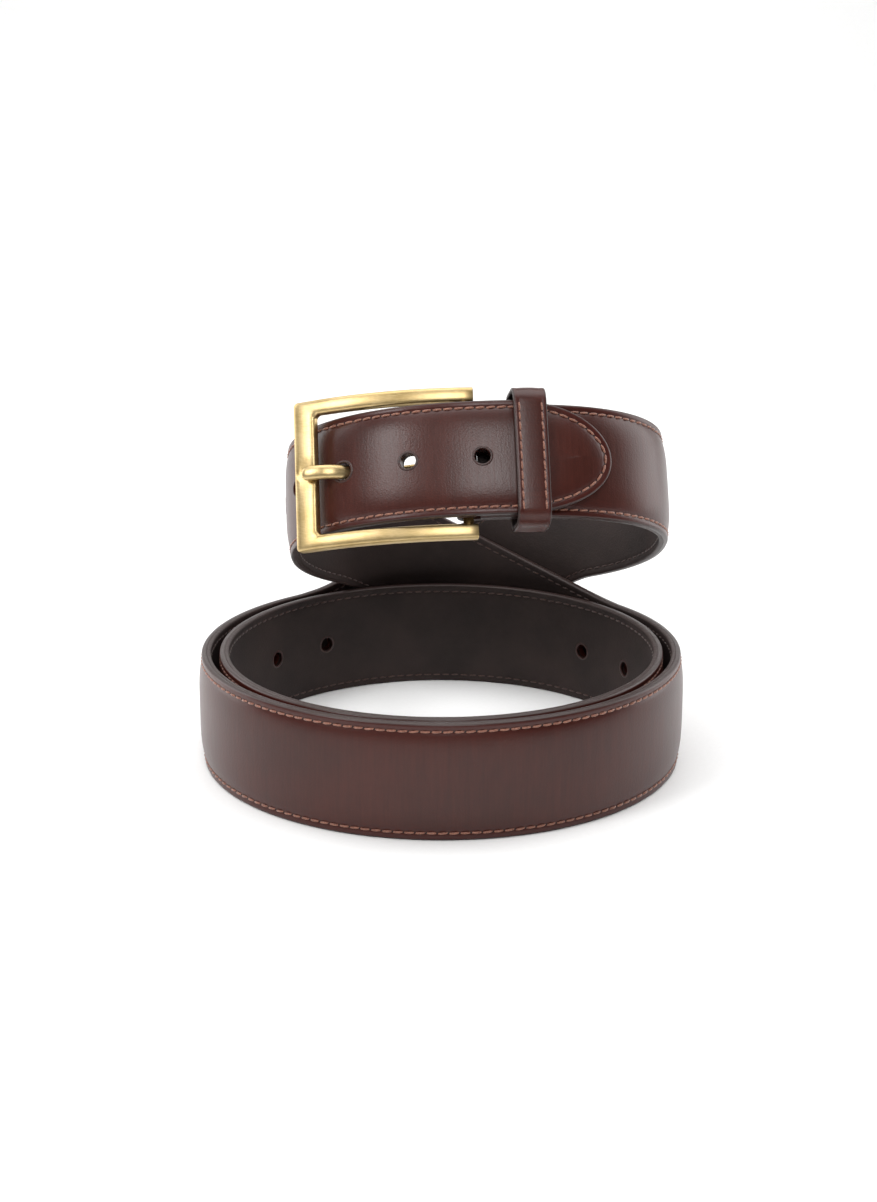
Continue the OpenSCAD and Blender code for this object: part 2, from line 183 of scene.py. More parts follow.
# %% Helpers for meshes
def skin(rings, closed=False, caps=(True, True)):
    """Quads between rings, and the corner lists of their maps: (ring, place in ring)."""
    n, m = len(rings[0]), len(rings)
    faces, spots = [], []
    for i in range(m if closed else m - 1):
        k = (i + 1) % m
        for j in range(n):
            l = (j + 1) % n
            faces.append((i * n + j, i * n + l, k * n + l, k * n + j))
            spots.append(((i, j), (i, j + 1), (i + 1, j + 1), (i + 1, j)))
    if not closed:
        for i in [0] * caps[0] + [m - 1] * caps[1]:
            faces.append(tuple(i * n + j for j in range(n)))
            spots.append(tuple((i, j) for j in range(n)))
    return [p for r in rings for p in r], faces, spots

def mesh_of(name, points, faces, maps=None, weld=0.0):
    """Object in metres at the origin. maps holds one pair of numbers for each face corner."""
    mesh = bpy.data.meshes.new(name)
    mesh.from_pydata([tuple(c * MM for c in p) for p in points], [], faces)
    if maps:
        layer = mesh.uv_layers.new(name="map")
        for loop, pair in zip(layer.data, maps):
            loop.uv = pair
    bm = bmesh.new()
    bm.from_mesh(mesh)
    bmesh.ops.remove_doubles(bm, verts=bm.verts, dist=max(weld, 1e-4) * MM)
    bmesh.ops.dissolve_degenerate(bm, edges=bm.edges, dist=1e-4 * MM)
    bmesh.ops.recalc_face_normals(bm, faces=bm.faces)
    bm.to_mesh(mesh)
    bm.free()
    obj = bpy.data.objects.new(name, mesh)
    bpy.context.scene.collection.objects.link(obj)
    return obj

def settle(obj):
    """Turns the object's modifiers into plain mesh."""
    bpy.context.view_layer.update()
    ready = obj.evaluated_get(bpy.context.evaluated_depsgraph_get())
    mesh = bpy.data.meshes.new_from_object(ready)
    obj.modifiers.clear()
    obj.data = mesh
    return obj

def smooth(obj, angle=None):
    obj.data.shade_smooth()
    if angle is not None:
        obj.data.set_sharp_from_angle(angle=math.radians(angle))

def finish_piece(obj, body, material, nodes=(), angle=None):
    obj.data.materials.clear()
    obj.data.materials.append(material)
    smooth(obj, angle)
    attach(obj, body)
    if nodes:
        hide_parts(*nodes)
    print(f"{obj.name}: {len(obj.data.polygons)} faces on {body}")

# %% [markdown]
# ## Writing shaders as sums
# A material is a graph of nodes. A small class wraps a socket, so that a mask can be written
# as a sum, and one method makes any other node from its type, its settings and its inputs.

# %% A socket that can be added, and a shader that makes nodes
class Flow:
    def __init__(self, shader, socket):
        self.shader, self.socket = shader, socket

    def _math(self, operation, *others):
        return self.shader.node("ShaderNodeMath", {"operation": operation}, dict(enumerate(others)))

    def __add__(self, o): return self._math("ADD", self, o)
    def __radd__(self, o): return self._math("ADD", o, self)
    def __sub__(self, o): return self._math("SUBTRACT", self, o)
    def __rsub__(self, o): return self._math("SUBTRACT", o, self)
    def __mul__(self, o): return self._math("MULTIPLY", self, o)
    def __rmul__(self, o): return self._math("MULTIPLY", o, self)
    def __truediv__(self, o): return self._math("DIVIDE", self, o)
    def __abs__(self): return self._math("ABSOLUTE", self)

    def step(self, low, high, a=0.0, b=1.0):
        """Goes smoothly from a to b as the value goes from low to high."""
        return self.shader.node("ShaderNodeMapRange", {"interpolation_type": "SMOOTHSTEP"},
                                {"Value": self, "From Min": low, "From Max": high, "To Min": a, "To Max": b})

class Shader:
    def __init__(self, name, **constants):
        self.material = bpy.data.materials.new(name)
        self.material.use_nodes = True
        self.tree = self.material.node_tree
        self.surface = next(n for n in self.tree.nodes if n.type == "BSDF_PRINCIPLED")
        for key, value in constants.items():
            self.surface.inputs[key.replace("_", " ").title().replace("Ior", "IOR")].default_value = value

    def node(self, kind, settings=None, inputs=None, out=0):
        n = self.tree.nodes.new(kind)
        for key, value in (settings or {}).items():
            if key == "stops":
                ramp = n.color_ramp
                while len(ramp.elements) < len(value):
                    ramp.elements.new(0.5)
                for e, (place, colour) in zip(ramp.elements, value):
                    e.position, e.color = place, colour
            else:
                setattr(n, key, value)
        for key, value in (inputs or {}).items():
            if isinstance(value, Flow):
                self.tree.links.new(value.socket, n.inputs[key])
            else:
                n.inputs[key].default_value = value
        return Flow(self, n.outputs[out])

    def feed(self, **sockets):
        for key, value in sockets.items():
            self.tree.links.new(value.socket, self.surface.inputs[key.replace("_", " ").title()])

    def map(self):
        return self.node("ShaderNodeUVMap", {"uv_map": "map"})

    def place(self):
        return self.node("ShaderNodeTexCoord", out="Object")

    def stretch(self, vector, scale):
        return self.node("ShaderNodeVectorMath", {"operation": "MULTIPLY"}, {0: vector, 1: scale})

    def noise(self, vector, scale, detail=3.0, rough=0.55):
        return self.node("ShaderNodeTexNoise", {}, {"Vector": vector, "Scale": scale, "Detail": detail,
                                                    "Roughness": rough}, out="Fac")

    def cells(self, vector, scale, feature="F1"):
        return self.node("ShaderNodeTexVoronoi", {"feature": feature}, {"Vector": vector, "Scale": scale},
                         out="Distance")

    def mix(self, factor, a, b):
        return self.node("ShaderNodeMix", {"data_type": "RGBA"}, {0: factor, 6: a, 7: b}, out=2)

    def across(self):
        return self.node("ShaderNodeSeparateXYZ", {}, {0: self.map()}, out=1)

    def bump(self, height, distance, strength=1.0, after=None):
        links = {"Height": height, "Distance": distance, "Strength": strength}
        if after:
            links["Normal"] = after
        return self.node("ShaderNodeBump", {}, links)

def tone(r, g, b):
    """Screen colour, 0 to 255, as linear light."""
    return tuple(((c / 255 + 0.055) / 1.055) ** 2.4 if c > 10 else c / 255 / 12.92
                 for c in (r, g, b)) + (1.0,)

# %% [markdown]
# ## Polished calf for the face
# The face leather is dark brown calf, dyed, waxed and polished. Up close it has a fine grain,
# long faint lines across the strap from glazing, and darker red skin where the seam pulls it
# down. The cut edge is painted and burnished. The mask for the edge reads the map, whose
# second number is the distance from the strap's middle.

# %% Face leather
def leather(name, base, warm, edge, rough, half_width, seam_zone, grain_depth):
    s = Shader(name, specular_ior_level=0.42)
    uv = s.map()
    out = abs(s.across())
    cloud = s.noise(uv, 28, 4)
    lines = s.noise(s.stretch(uv, (1500, 90, 1)), 1, 3, 0.6)
    broad = s.noise(s.stretch(uv, (420, 22, 1)), 1, 2, 0.5)
    pores = s.cells(uv, 1900)
    fine = s.noise(uv, 3400, 2)
    shade = (cloud * 0.6 + lines * 0.3 + broad * 0.25).step(0.38, 0.8)
    body = s.mix(shade, tuple(c * 0.72 for c in base[:3]) + (1,),
                 tuple(min(c * 1.22, 1) for c in base[:3]) + (1,))
    seam = (half_width - out).step(seam_zone[0], seam_zone[1], 1.0, 0.0)
    pulled = s.mix(seam * 0.75, body, warm)
    rim = (half_width - out).step(0.00015, 0.0007, 1.0, 0.0)
    s.feed(base_color=s.mix(rim, pulled, edge),
           roughness=rough + (cloud - 0.5) * 0.10 + (lines - 0.5) * 0.10 + rim * 0.02,
           normal=s.bump(pores * 0.5 + fine * 0.25 + lines * 0.5 + broad * 0.3, grain_depth))
    return s.material

CALF = tone(64, 25, 17)
CALF_RED = tone(62, 18, 10)
EDGE_PAINT = tone(52, 36, 33)
calf = leather("polished_calf", CALF, CALF_RED, EDGE_PAINT, 0.33, HALF_W * MM, (0.0018, 0.0062), 0.00004)
keeper_calf = leather("keeper_calf", CALF, CALF_RED, EDGE_PAINT, 0.33, 0.005, (0.0012, 0.0028), 0.00004)
print("face leather ready")

# %% [markdown]
# ## Lining, thread and brass
# The lining is a matte leather with a pebbled grain, a little darker than the face. The
# thread is waxed and light tan. The brass is brushed and then tumbled, so it has a soft
# satin sheen.

# %% Lining leather
def lining_leather():
    s = Shader("matte_lining", specular_ior_level=0.35)
    uv = s.map()
    pebble = s.cells(uv, 1500)
    cloud = s.noise(uv, 45, 4)
    fibre = s.noise(uv, 2600, 3)
    out = abs(s.across())
    rim = (HALF_W * MM - out).step(0.00015, 0.0007, 1.0, 0.0)
    body = s.mix((cloud * 0.7 + fibre * 0.3).step(0.3, 0.7), tone(36, 26, 24), tone(52, 39, 36))
    s.feed(base_color=s.mix(rim, body, EDGE_PAINT), roughness=0.66 + (fibre - 0.5) * 0.2 - rim * 0.22,
           normal=s.bump(pebble * 0.6 + fibre * 0.5, 0.00008))
    return s.material

lining = lining_leather()

# %% Thread
def thread(name, light, dark):
    s = Shader(name, sheen_weight=0.3, sheen_roughness=0.5)
    p = s.place()
    twist = s.noise(p, 2500, 2)
    s.feed(base_color=s.mix(twist.step(0.3, 0.7), dark, light), roughness=0.55 + (twist - 0.5) * 0.2,
           normal=s.bump(twist, 0.00006))
    return s.material

tan_thread = thread("tan_thread", tone(160, 108, 86), tone(112, 66, 50))
brown_thread = thread("brown_thread", tone(78, 46, 36), tone(50, 31, 25))

# %% Brass and steel
def metal(name, light, dark, rough, brush, depth):
    s = Shader(name, metallic=1.0)
    p = s.place()
    marks = s.noise(s.stretch(p, brush), 1, 3, 0.6)
    cloud = s.noise(p, 90, 3)
    grit = s.noise(p, 6000, 2)
    s.feed(base_color=s.mix((cloud * 0.6 + marks * 0.4).step(0.3, 0.7), dark, light),
           roughness=rough + (cloud - 0.5) * 0.08 + (marks - 0.5) * 0.12,
           normal=s.bump(marks * 0.6 + grit * 0.4, depth))
    return s.material

brass = metal("satin_brass", tone(214, 190, 142), tone(184, 158, 106), 0.37, (500, 500, 2600), 0.000006)
# The heel bar's brass is the same satin brass in darker tones. This is painted shade for the bar that lies in
# the leather fold.
brass_painted_shade = metal("brass_painted_shade", tone(120, 96, 58), tone(84, 64, 38), 0.5, (900, 900, 900), 0.00001)
steel = metal("staple_wire", tone(190, 186, 178), tone(150, 146, 140), 0.4, (900, 900, 900), 0.00001)

# %% Burnished rims, and painted shade for the needle pricks
def plain_leather(name, light, dark, rough):
    s = Shader(name)
    p = s.place()
    cloud = s.noise(p, 1200, 3)
    s.feed(base_color=s.mix(cloud.step(0.3, 0.7), dark, light), roughness=rough + (cloud - 0.5) * 0.15,
           normal=s.bump(cloud, 0.00005))
    return s.material

burnished = plain_leather("burnished_rim", tone(60, 28, 22), tone(40, 20, 16), 0.38)
# Needle pricks: a near-black colour painted on small marks. It stands in for the shade inside the needle holes,
# which are not cut.
prick_shade = plain_leather("prick_hole_painted_shade", tone(20, 9, 7), tone(12, 6, 5), 0.7)
print("materials:", len(bpy.data.materials))

# %% [markdown]
# ## The strap: a padded face on a lining
# The face leather is drawn over a filler, so it swells between the two seams and lies flat
# outside them. The seam pulls a narrow channel. Each layer is a closed loft: one section,
# given by the distance from the strap's edge, is carried along the path. At the point the
# section follows the outline, so the seam keeps its distance from the edge all the way round.

# %% Section of the layers, as distance from the edge and height over the lining's inner side
def pillow(e, crown):
    x = min(max((e - MARGIN + 0.6) / (HALF_W - MARGIN + 0.6), 0.0), 1.0)
    return crown * (1 - (1 - x) ** 4.5)

def face_height(e, crown=CROWN):
    channel = 0.24 * math.exp(-((e - SEAM_INSET) / 0.5) ** 2)
    round_off = 0.8 * (1 - math.sqrt(max(1 - (max(0.9 - e, 0.0) / 0.9) ** 2, 0.0)))
    return EDGE_T + pillow(e, crown) - channel - round_off

def lining_height(e):
    channel = 0.12 * math.exp(-((e - SEAM_INSET) / 0.5) ** 2)
    return channel + 0.7 * (1 - math.sqrt(max(1 - (max(0.7 - e, 0.0) / 0.7) ** 2, 0.0)))

INNER = 10.5                                # rings follow the outline down to this depth
DEPTHS = (17.5, 15.2, 12.8, 10.5, 8.6, 7.0, 5.8, 4.9, 4.2, 3.6, 3.2, 2.9, 2.7, 2.5, 2.3, 2.1, 1.9, 1.6, 1.3,
          0.9, 0.6, 0.35, 0.15, 0.0)
HIDDEN = ((0.0, 1.48), (0.12, 1.4), (4.0, 1.4), (10.5, 1.4), (17.5, 1.4))

def face_half(crown=CROWN):
    """Half of the face leather's section, from the middle over the edge and back below."""
    return ([(e, lambda x, c=crown: face_height(x, c)) for e in DEPTHS]
            + [(e, lambda x, d=d: d) for e, d in HIDDEN])

def lining_half():
    below = [(e, lining_height) for e in DEPTHS if e not in (5.8, 4.2, 2.9, 1.9)]
    return below + [(e, lambda x, d=d: d)
                    for e, d in ((0.0, 1.34), (0.12, 1.4), (4.0, 1.4), (10.5, 1.4), (17.5, 1.4))]

def row_spots(half, outline=None):
    """(length shift, across, height, map across) round the section, with or without the point's outline."""
    spots = []
    for sign, part in ((1, half), (-1, half[-2:0:-1])):
        for e, height in part:
            if outline is None:
                du, w, deep = 0.0, HALF_W - e, e
            else:
                (ou, ow), (nu, nw) = outline
                k = min(e, INNER)
                du, w = ou + k * nu, ow + k * nw
                f = max(e - INNER, 0.0) / (HALF_W - INNER)
                deep = k + f * w
                w *= 1 - f
            spots.append((du, sign * w, height(deep), sign * (HALF_W - deep)))
    return spots

print("section points:", len(row_spots(face_half())), "face,", len(row_spots(lining_half())), "lining")

# %% Outline of the point and the two layers
BODY_LEN = length_at(walk(POINT_T, -POINT_LEN))
NOSE_LEN = STRAP_LEN - BODY_LEN

def nose(a):
    """Outline at an angle from the tip, and the direction inward."""
    n = Vector((math.cos(a) / NOSE_LEN, math.sin(a) / HALF_W)).normalized()
    return (NOSE_LEN * math.cos(a), HALF_W * math.sin(a)), (-n[0], -n[1])

def strap_layer(name, half):
    rings, maps = [], []
    rows = int(BODY_LEN / 2.0)
    for i in range(rows + 1):
        u = BODY_LEN * i / rows
        p, up, out = station(angle_at(u))
        spots = row_spots(half)
        rings.append([p + w * up + d * out for _, w, d, _ in spots])
        maps.append([(u * MM, v * MM) for *_, v in spots])
    for i in range(1, 41):
        spots = row_spots(half, nose(math.radians(90 * (1 - i / 40))))
        rings.append([at(angle_at(BODY_LEN + du), w, d) for du, w, d, _ in spots])
        maps.append([((BODY_LEN + du) * MM, v * MM) for du, _, _, v in spots])
    points, faces, corners = skin(rings, caps=(True, False))
    n = len(maps[0])
    return mesh_of(name, points, faces, [maps[i][j % n] for f in corners for i, j in f], weld=0.002)

strap_face = strap_layer("strap_face_leather", face_half())
strap_lining = strap_layer("strap_lining_leather", lining_half())
print("strap layers:", len(strap_face.data.polygons), len(strap_lining.data.polygons), "faces")

# %% [markdown]
# ## The inner turn
# Inside the coil lies a second turn of the same leather. It is a plain closed oval, so its
# layers are lofts round the oval, with less padding because the outer turn presses on it.

# %% Inner turn
def oval(a, off=0.0):
    """Point of the oval's outer side and the direction outward."""
    out = Vector((math.cos(a) / TURN_X, math.sin(a) / TURN_Y, 0)).normalized()
    return Vector((TURN_X * math.cos(a), COIL_Y + TURN_Y * math.sin(a), HALF_W)) + off * out, out

def turn_layer(name, half, steps=240):
    rings, maps, u, last = [], [], 0.0, oval(0)[0]
    for i in range(steps):
        p, out = oval(2 * math.pi * i / steps)
        u += (p - last).length
        last = p
        spots = row_spots(half)
        rings.append([p + w * Vector((0, 0, 1)) + (d - EDGE_T) * out for _, w, d, _ in spots])
        maps.append([(u * MM, v * MM) for *_, v in spots])
    points, faces, corners = skin(rings, closed=True)
    n = len(maps[0])
    maps.append([((u + 1.85) * MM, v) for _, v in maps[0]])
    return mesh_of(name, points, faces, [maps[i][j % n] for f in corners for i, j in f])

turn_face = turn_layer("inner_turn_face_leather", face_half(0.35))
turn_lining = turn_layer("inner_turn_lining_leather", lining_half())
print("inner turn layers:", len(turn_face.data.polygons), len(turn_lining.data.polygons), "faces")

# %% [markdown]
# ## Punched holes
# A punch goes through both layers at once, so one cutter is taken from each of them with a
# Boolean. The hole in use is long, because the prong slopes through it.

# %% Places in the buckle and the prong's line
FRAME_BOW = 3.2
BOW_R = ((BAR_REACH / 2) ** 2 + FRAME_BOW ** 2) / (2 * FRAME_BOW)
TURN_HEEL = Matrix.Rotation(math.pi - FRAME_TURN, 3, "Z")
PRONG_W, PRONG_T, PRONG_DIP = 4.4, 2.4, -4.5

def heel(x, y, z):
    """Place measured from the heel bar: x to the front bar, y outward, z along the bar."""
    return LOOP_C + IN_LOOP @ (Vector((HEEL_X, HEEL_Y, HALF_W)) + TURN_HEEL @ Vector((x, y, z)))

def bow_y(x):
    return FRAME_BOW - BOW_R + math.sqrt(BOW_R ** 2 - (x - BAR_REACH / 2) ** 2)

def rest_y(x):
    return FRAME_D / 2 + PRONG_T / 2 + 0.15 + bow_y(x)

PRONG_KNOTS = [(2.3, -1.2), (10, PRONG_DIP + 0.8), (BAR_REACH - 23.5, PRONG_DIP),
               (BAR_REACH - 18.5, PRONG_DIP + 1.2), (BAR_REACH - 11, 2.2)]
BAR_EDGE = BAR_REACH - FRONT_BAR_W / 2
PRONG_KNOTS += [(BAR_REACH - 7, rest_y(BAR_EDGE) - 0.2), (BAR_EDGE, rest_y(BAR_EDGE)),
                (BAR_REACH + 0.8, rest_y(BAR_REACH + 0.8) + 0.4)]

def spline(knots, steps=6):
    """Smooth line through the knots."""
    ks = [Vector(k) for k in knots]
    ks = [2 * ks[0] - ks[1]] + ks + [2 * ks[-1] - ks[-2]]
    line = []
    for i in range(1, len(ks) - 2):
        a, b, c, d = ks[i - 1:i + 3]
        for j in range(steps):
            t = j / steps
            line.append(0.5 * (2 * b + (c - a) * t + (2 * a - 5 * b + 4 * c - d) * t * t
                               + (3 * b - a - 3 * c + d) * t ** 3))
    return line + [ks[-2]]

prong_line = spline(PRONG_KNOTS)
passing = []
for x, y in prong_line:
    spot, t = heel(x, y, 0), USED_T
    for _ in range(12):
        p, up, out = station(t)
        t += (spot - p).dot(up.cross(out)) / (middle(t + 0.5) - middle(t - 0.5)).length
    if -1.6 < (spot - p).dot(out) < FULL_T + 1.4:
        passing.append(length_at(t))
SLOT = (min(passing) - 0.4, max(passing) + 0.4)
print("prong passes the strap at", [round(u, 1) for u in SLOT], "mm; used hole", round(length_at(USED_T), 1))

# %% Cutters
def rod(ring, low, high):
    """Closed prism: ring gives a function of depth."""
    return skin([ring(low), ring(high)])[:2]

def strap_cutter():
    points, faces = [], []
    def add(p, f):
        faces.extend(tuple(i + len(points) for i in q) for q in f)
        points.extend(p)
    for t in HOLE_TS:
        p, up, out = station(t)
        side = up.cross(out)
        add(*rod(lambda d: [p + d * out + HOLE_D / 2 * (math.cos(a) * side + math.sin(a) * up)
                            for a in (math.tau * k / 48 for k in range(48))], -4, 8))
    p, up, out = station(angle_at((SLOT[0] + SLOT[1]) / 2))
    side = up.cross(out)
    half = (SLOT[1] - SLOT[0]) / 2
    wide = PRONG_W / 2 + 0.55
    shift = max(half - wide, 0.2)
    angles = [math.tau * (k + 0.5) / 48 for k in range(48)]
    add(*rod(lambda d: [p + d * out + (math.copysign(shift, math.cos(a)) + wide * math.cos(a)) * side
                        + wide * math.sin(a) * up for a in angles], -4, 8))
    return mesh_of("strap_cutter", points, faces)

TURN_PAIRS = [math.radians(a) + d * 11.8 / TURN_X for a in (34, 136) for d in (-1, 1)]

def turn_cutter():
    points, faces = [], []
    for a in TURN_PAIRS:
        p, out = oval(a)
        side = out.cross(Vector((0, 0, 1)))
        q, f = rod(lambda d: [p + d * out
                              + HOLE_D / 2 * (math.cos(b) * side + math.sin(b) * Vector((0, 0, 1)))
                              for b in (math.tau * k / 48 for k in range(48))], -7, 4)
        faces.extend(tuple(i + len(points) for i in g) for g in f)
        points.extend(q)
    return mesh_of("turn_cutter", points, faces)

def punch(obj, cutter):
    cut = obj.modifiers.new("punch", "BOOLEAN")
    cut.operation, cut.solver, cut.object = "DIFFERENCE", "EXACT", cutter
    settle(obj)

for make, layers in ((strap_cutter, (strap_face, strap_lining)), (turn_cutter, (turn_face, turn_lining))):
    cutter = make()
    for layer in layers:
        punch(layer, cutter)
    bpy.data.objects.remove(cutter)
print("punched:", len(strap_face.data.polygons), len(turn_face.data.polygons), "faces")

# %% Materials and bodies of the strap
finish_piece(strap_face, "strap", calf, ("strap_face", "strap_filler"), 40)
finish_piece(strap_lining, "strap", lining, ("strap_lining",), 40)
finish_piece(turn_face, "strap", calf, ("inner_turn_face", "inner_turn_filler"), 40)
finish_piece(turn_lining, "strap", lining, ("inner_turn_lining",), 40)

# %% [markdown]
# ## Burnished rims
# The punch presses the grain down round each hole, and the rim takes more wax. A thin bead
# follows the padded surface round every hole, on the face and a finer one on the lining.

# %% Rims of the holes
def rim(where, radius, wall, bead, steps=48):
    """Rings of a thin bead. where(x, y, h) gives the place at x along, y across and h above the leather."""
    rings = []
    for k in range(steps):
        a = math.tau * k / steps
        ring = []
        for r, h in ((radius - 0.02, -wall), (radius - 0.1, -0.1), (radius, bead * 0.8), (radius + 0.25, bead),
                     (radius + 0.55, bead * 0.5), (radius + 0.75, -0.06), (radius + 0.3, -0.25)):
            ring.append(where(r * math.cos(a), r * math.sin(a), h))
        rings.append(ring)
    return skin(rings, closed=True)[:2]

def gather(name, parts):
    points, faces = [], []
    for p, f in parts:
        faces.extend(tuple(i + len(points) for i in q) for q in f)
        points.extend(p)
    return mesh_of(name, points, faces)

def on_face(t, stretch=0.0):
    u0 = length_at(t)
    return lambda x, y, h: at(angle_at(u0 + x + math.copysign(stretch, x)), y,
                              face_height(HALF_W - abs(y)) + h)

def on_turn(a):
    def where(x, y, h):
        p, out = oval(a + x / TURN_X)
        return p + y * Vector((0, 0, 1)) + (-EDGE_T - h) * out
    return where

slot_half = (SLOT[1] - SLOT[0]) / 2
rims = gather("hole_rims", [rim(on_face(t), HOLE_D / 2, 1.2, 0.12) for t in HOLE_TS]
              + [rim(on_face(angle_at(sum(SLOT) / 2), max(slot_half - PRONG_W / 2 - 0.55, 0.2)),
                     PRONG_W / 2 + 0.55, 1.2, 0.12)]
              + [rim(on_turn(a), HOLE_D / 2, 1.0, 0.1) for a in TURN_PAIRS])
finish_piece(rims, "strap", burnished)

# %% [markdown]
# ## Stitches
# A lock stitch shows as one short thread after another, each diving into its own prick. The
# guide is a mesh of loose points, one for each stitch, which carries the seam's direction and
# the way up as attributes. A Geometry Nodes tree puts a bent thread on every point and turns
# it a little at random, as hand and needle do, and ends in a plain mesh with its material.

# %% Guides for the seams
PITCH = 3.2

def spaced(track, pitch=PITCH):
    """Evenly spaced (place, along, out) on a track of (place, out)."""
    spots, want, gone = [], pitch / 2, 0.0
    for (p, n), (q, m) in zip(track, track[1:]):
        d = (q - p).length
        while want <= gone + d:
            f = (want - gone) / d
            spots.append((p.lerp(q, f), (q - p).normalized(), n.lerp(m, f).normalized()))
            want += pitch
        gone += d
    return spots

def strap_track(height, sign):
    """The seam from the heel along one edge, round the point and back along the other edge."""
    track = []
    us = [BODY_LEN * i / 700 for i in range(1, 701)]
    for side in (-1, 1):
        part = []
        for u in us:
            p, up, out = station(angle_at(u))
            part.append((p + side * (HALF_W - SEAM_INSET) * up + height * out, sign * out))
        track += part if side < 0 else part[::-1]
        if side < 0:
            for k in range(61):
                (ou, ow), (nu, nw) = nose(math.radians(90 - k * 3) if k <= 30 else math.radians(k * 3 - 90))
                u, w = ou + SEAM_INSET * nu, abs(ow + SEAM_INSET * nw)
                t = angle_at(BODY_LEN + u)
                track.append((at(t, -w if k <= 30 else w, height), sign * station(t)[2]))
    return track

def turn_track(w, off, sign):
    return [(oval(math.tau * k / 480, off)[0] + w * Vector((0, 0, 1)), sign * oval(math.tau * k / 480)[1])
            for k in range(481)]

def guide(spots):
    mesh = bpy.data.meshes.new("guide")
    mesh.from_pydata([tuple(p * MM) for p, _, _ in spots], [], [])
    for name, k in (("along", 1), ("out", 2)):
        layer = mesh.attributes.new(name, "FLOAT_VECTOR", "POINT")
        layer.data.foreach_set("vector", [c for s in spots for c in s[k]])
    return mesh

seam_w = HALF_W - SEAM_INSET
face_spots = spaced(strap_track(face_height(SEAM_INSET), 1))
back_spots = spaced(strap_track(lining_height(SEAM_INSET), -1))
turn_face_spots = [s for w in (-seam_w, seam_w) for s in spaced(turn_track(w, -0.2, 1))]
turn_back_spots = [s for w in (-seam_w, seam_w) for s in spaced(turn_track(w, -EDGE_T + 0.1, -1))]
print("stitches:", len(face_spots), "face,", len(back_spots), "behind,", len(turn_face_spots), "inner turn")

# %% The tree that sews
def sewing_tree(name, faces_round=7):
    tree = bpy.data.node_groups.new(name, "GeometryNodeTree")
    face = tree.interface
    face.new_socket("Geometry", in_out="INPUT", socket_type="NodeSocketGeometry")
    ids = {}
    for label, kind in (("Length", "Float"), ("Width", "Float"), ("Rise", "Float"), ("Dive", "Float"),
                        ("Slant", "Float"), ("Wobble", "Float"), ("Seed", "Int"), ("Thread", "Material")):
        ids[label] = face.new_socket(label, in_out="INPUT", socket_type="NodeSocket" + kind).identifier
    face.new_socket("Geometry", in_out="OUTPUT", socket_type="NodeSocketGeometry")
    def node(kind, settings=None, links=None):
        n = tree.nodes.new(kind)
        for k, v in (settings or {}).items():
            setattr(n, k, v)
        for k, v in (links or {}).items():
            if isinstance(v, bpy.types.NodeSocket):
                tree.links.new(v, n.inputs[k])
            else:
                n.inputs[k].default_value = v
        return n
    start = node("NodeGroupInput").outputs
    def sum_node(operation, a, b):
        return node("ShaderNodeMath", {"operation": operation}, {0: a, 1: b}).outputs[0]

    half = sum_node("MULTIPLY", start["Length"], 0.5)
    back = sum_node("MULTIPLY", half, -1.0)
    down = sum_node("MULTIPLY", start["Dive"], -1.0)
    high = sum_node("MULTIPLY", start["Rise"], 2.0)
    ends = [node("ShaderNodeCombineXYZ", {}, {0: x, 2: z}).outputs[0]
            for x, z in ((back, down), (half, down))]
    top = node("ShaderNodeCombineXYZ", {}, {2: high}).outputs[0]
    arch = node("GeometryNodeCurveQuadraticBezier", {}, {
        "Resolution": 5, "Start": ends[0], "Middle": top, "End": ends[1]})
    radius = sum_node("MULTIPLY", start["Width"], 0.5)
    ring = node("GeometryNodeCurvePrimitiveCircle", {}, {"Resolution": faces_round, "Radius": radius})
    strand = node("GeometryNodeCurveToMesh", {}, {
        "Curve": arch.outputs[0], "Profile Curve": ring.outputs[0], "Fill Caps": True})
    along, out = [node("GeometryNodeInputNamedAttribute", {"data_type": "FLOAT_VECTOR"},
                       {"Name": name}).outputs[0] for name in ("along", "out")]
    turn = node("FunctionNodeAlignRotationToVector", {"axis": "X"}, {"Vector": along})
    turn = node("FunctionNodeAlignRotationToVector", {"axis": "Z", "pivot_axis": "X"}, {
        "Rotation": turn.outputs[0], "Vector": out})
    low = sum_node("SUBTRACT", start["Slant"], start["Wobble"])
    top_turn = sum_node("ADD", start["Slant"], start["Wobble"])
    spin = node("FunctionNodeRandomValue", {"data_type": "FLOAT"}, {
        2: low, 3: top_turn, "Seed": start["Seed"]})
    euler = node("ShaderNodeCombineXYZ", {}, {2: spin.outputs[1]}).outputs[0]
    turned = node("FunctionNodeRotateRotation", {"rotation_space": "LOCAL"}, {0: turn.outputs[0], 1: node(
        "FunctionNodeEulerToRotation", {}, {0: euler}).outputs[0]})
    dots = node("GeometryNodeMeshToPoints", {}, {0: start["Geometry"]})
    sewn = node("GeometryNodeInstanceOnPoints", {}, {
        "Points": dots.outputs[0], "Instance": strand.outputs[0], "Rotation": turned.outputs[0]})
    plain = node("GeometryNodeRealizeInstances", {}, {0: sewn.outputs[0]})
    done = node("GeometryNodeSetMaterial", {}, {"Geometry": plain.outputs[0], "Material": start["Thread"]})
    node("NodeGroupOutput", {}, {0: done.outputs[0]})
    return tree, ids

sewing, sockets = sewing_tree("sewing")
print("sewing tree:", len(sewing.nodes), "nodes")

# %% Sew the seams
def sew(name, spots, body, slot, nodes=(), **inputs):
    obj = bpy.data.objects.new(name, guide(spots))
    bpy.context.scene.collection.objects.link(obj)
    worker = obj.modifiers.new("sewing", "NODES")
    worker.node_group = sewing
    for label, value in inputs.items():
        worker[sockets[label]] = value
    settle(obj)
    for layer in [a for a in obj.data.attributes if a.name in ("along", "out")]:
        obj.data.attributes.remove(layer)
    finish_piece(obj, body, inputs["Thread"], nodes)
    return obj

